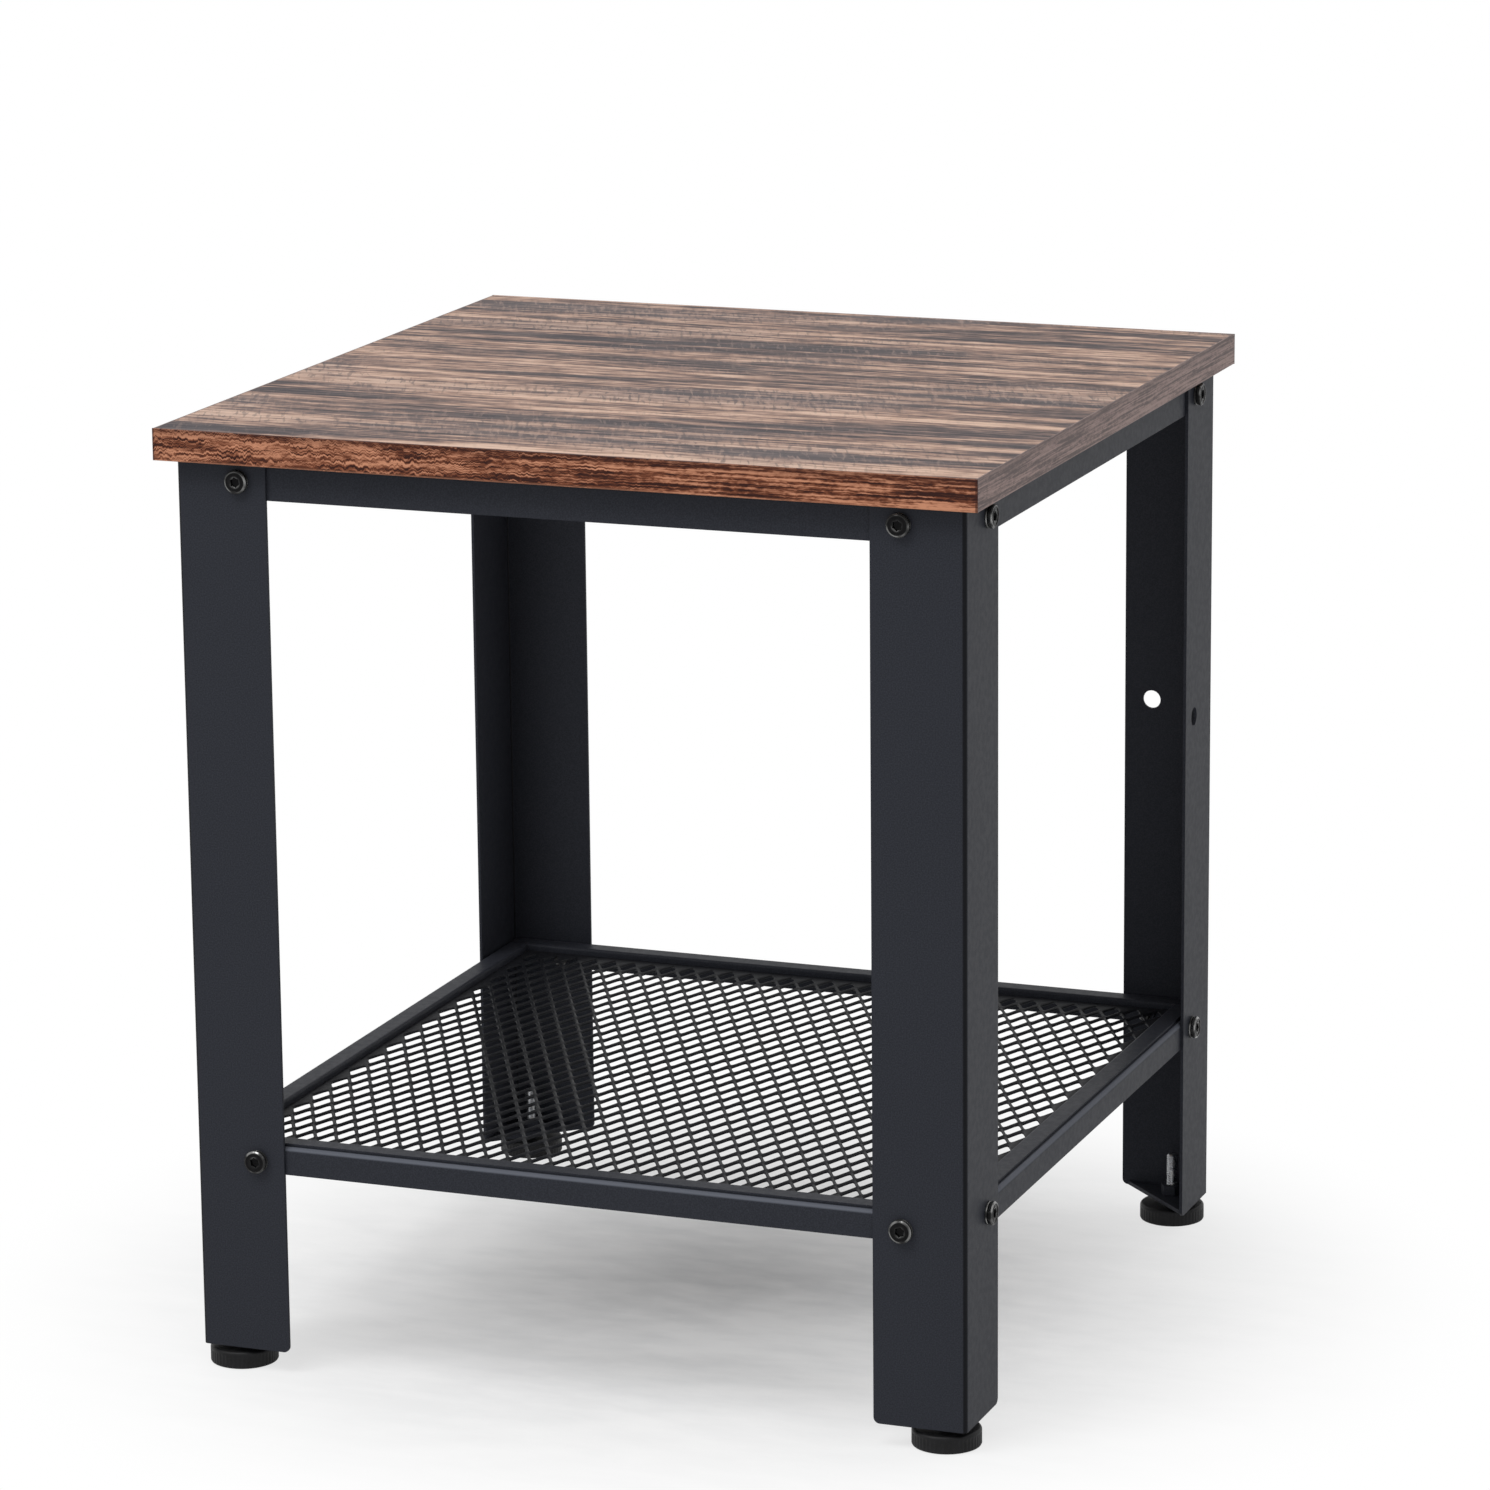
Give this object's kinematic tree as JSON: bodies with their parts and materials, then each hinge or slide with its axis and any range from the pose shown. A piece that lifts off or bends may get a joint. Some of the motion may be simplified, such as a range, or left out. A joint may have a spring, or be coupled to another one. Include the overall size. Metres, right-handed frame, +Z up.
{
  "type": "end table with shelf",
  "caption": "Square end table: wood-look board on folded black steel legs, with an expanded-metal shelf near the floor and levelling feet.",
  "frame": {"origin": "on the floor, under the middle of the board", "axes": "+Z up, -Y towards the front that the picture shows on the left, +X towards its right-hand side"},
  "size_m": [0.4, 0.4, 0.455],
  "materials": {
    "board_laminate": "rustic wood-look laminate, satin",
    "board_edge": "wood-look edge band, satin",
    "powder_coat": "charcoal black powder coat, fine texture",
    "mesh_coat": "charcoal black powder coat",
    "bolt_black": "black oxide",
    "zinc": "bright zinc",
    "pad_black": "black plastic, satin"
  },
  "bodies": {
    "table": {"top_board": "board_laminate", "edge_band_front": "board_edge", "edge_band_right": "board_edge", "edge_band_back": "board_edge", "edge_band_left": "board_edge", "leg_front_left": "powder_coat", "leg_front_right": "powder_coat", "leg_back_right": "powder_coat", "leg_back_left": "powder_coat", "top_rail_front": "powder_coat", "shelf_rail_front": "powder_coat", "shelf_rim_front": "powder_coat", "top_rail_right": "powder_coat", "shelf_rail_right": "powder_coat", "shelf_rim_right": "powder_coat", "top_rail_back": "powder_coat", "shelf_rail_back": "powder_coat", "shelf_rim_back": "powder_coat", "top_rail_left": "powder_coat", "shelf_rail_left": "powder_coat", "shelf_rim_left": "powder_coat", "shelf_mesh": "mesh_coat", "top_bolts": "bolt_black", "shelf_bolts": "bolt_black", "top_rail_bushes": "powder_coat", "shelf_rail_bushes": "powder_coat", "board_screws": "zinc", "foot_plate_front_left": "powder_coat", "foot_nut_front_left": "powder_coat", "foot_plate_front_right": "powder_coat", "foot_nut_front_right": "powder_coat", "foot_plate_back_right": "powder_coat", "foot_nut_back_right": "powder_coat", "foot_plate_back_left": "powder_coat", "foot_nut_back_left": "powder_coat"},
    "stud_front_left": {"foot_stud_front_left": "zinc"},
    "pad_front_left": {"foot_pad_front_left": "pad_black"},
    "stud_front_right": {"foot_stud_front_right": "zinc"},
    "pad_front_right": {"foot_pad_front_right": "pad_black"},
    "stud_back_right": {"foot_stud_back_right": "zinc"},
    "pad_back_right": {"foot_pad_back_right": "pad_black"},
    "stud_back_left": {"foot_stud_back_left": "zinc"},
    "pad_back_left": {"foot_pad_back_left": "pad_black"}
  },
  "joints": [
    {"name": "foot_rise_front_left", "type": "slide", "parent": "table", "child": "stud_front_left", "axis": [0, 0, -1], "range_m": [-0.002, 0.008]},
    {"name": "foot_turn_front_left", "type": "hinge", "parent": "stud_front_left", "child": "pad_front_left", "pos_m": [-0.1775, -0.1775, 0], "axis": [0, 0, -1], "range_deg": [-720, 2880]},
    {"name": "foot_rise_front_right", "type": "slide", "parent": "table", "child": "stud_front_right", "axis": [0, 0, -1], "range_m": [-0.002, 0.008]},
    {"name": "foot_turn_front_right", "type": "hinge", "parent": "stud_front_right", "child": "pad_front_right", "pos_m": [0.1775, -0.1775, 0], "axis": [0, 0, -1], "range_deg": [-720, 2880]},
    {"name": "foot_rise_back_right", "type": "slide", "parent": "table", "child": "stud_back_right", "axis": [0, 0, -1], "range_m": [-0.002, 0.008]},
    {"name": "foot_turn_back_right", "type": "hinge", "parent": "stud_back_right", "child": "pad_back_right", "pos_m": [0.1775, 0.1775, 0], "axis": [0, 0, -1], "range_deg": [-720, 2880]},
    {"name": "foot_rise_back_left", "type": "slide", "parent": "table", "child": "stud_back_left", "axis": [0, 0, -1], "range_m": [-0.002, 0.008]},
    {"name": "foot_turn_back_left", "type": "hinge", "parent": "stud_back_left", "child": "pad_back_left", "pos_m": [-0.1775, 0.1775, 0], "axis": [0, 0, -1], "range_deg": [-720, 2880]}
  ],
  "couplings": [
    {"joint": "foot_rise_front_left", "follows": "foot_turn_front_left", "m_per_rad": 0.00015915},
    {"joint": "foot_rise_front_right", "follows": "foot_turn_front_right", "m_per_rad": 0.00015915},
    {"joint": "foot_rise_back_right", "follows": "foot_turn_back_right", "m_per_rad": 0.00015915},
    {"joint": "foot_rise_back_left", "follows": "foot_turn_back_left", "m_per_rad": 0.00015915}
  ]
}
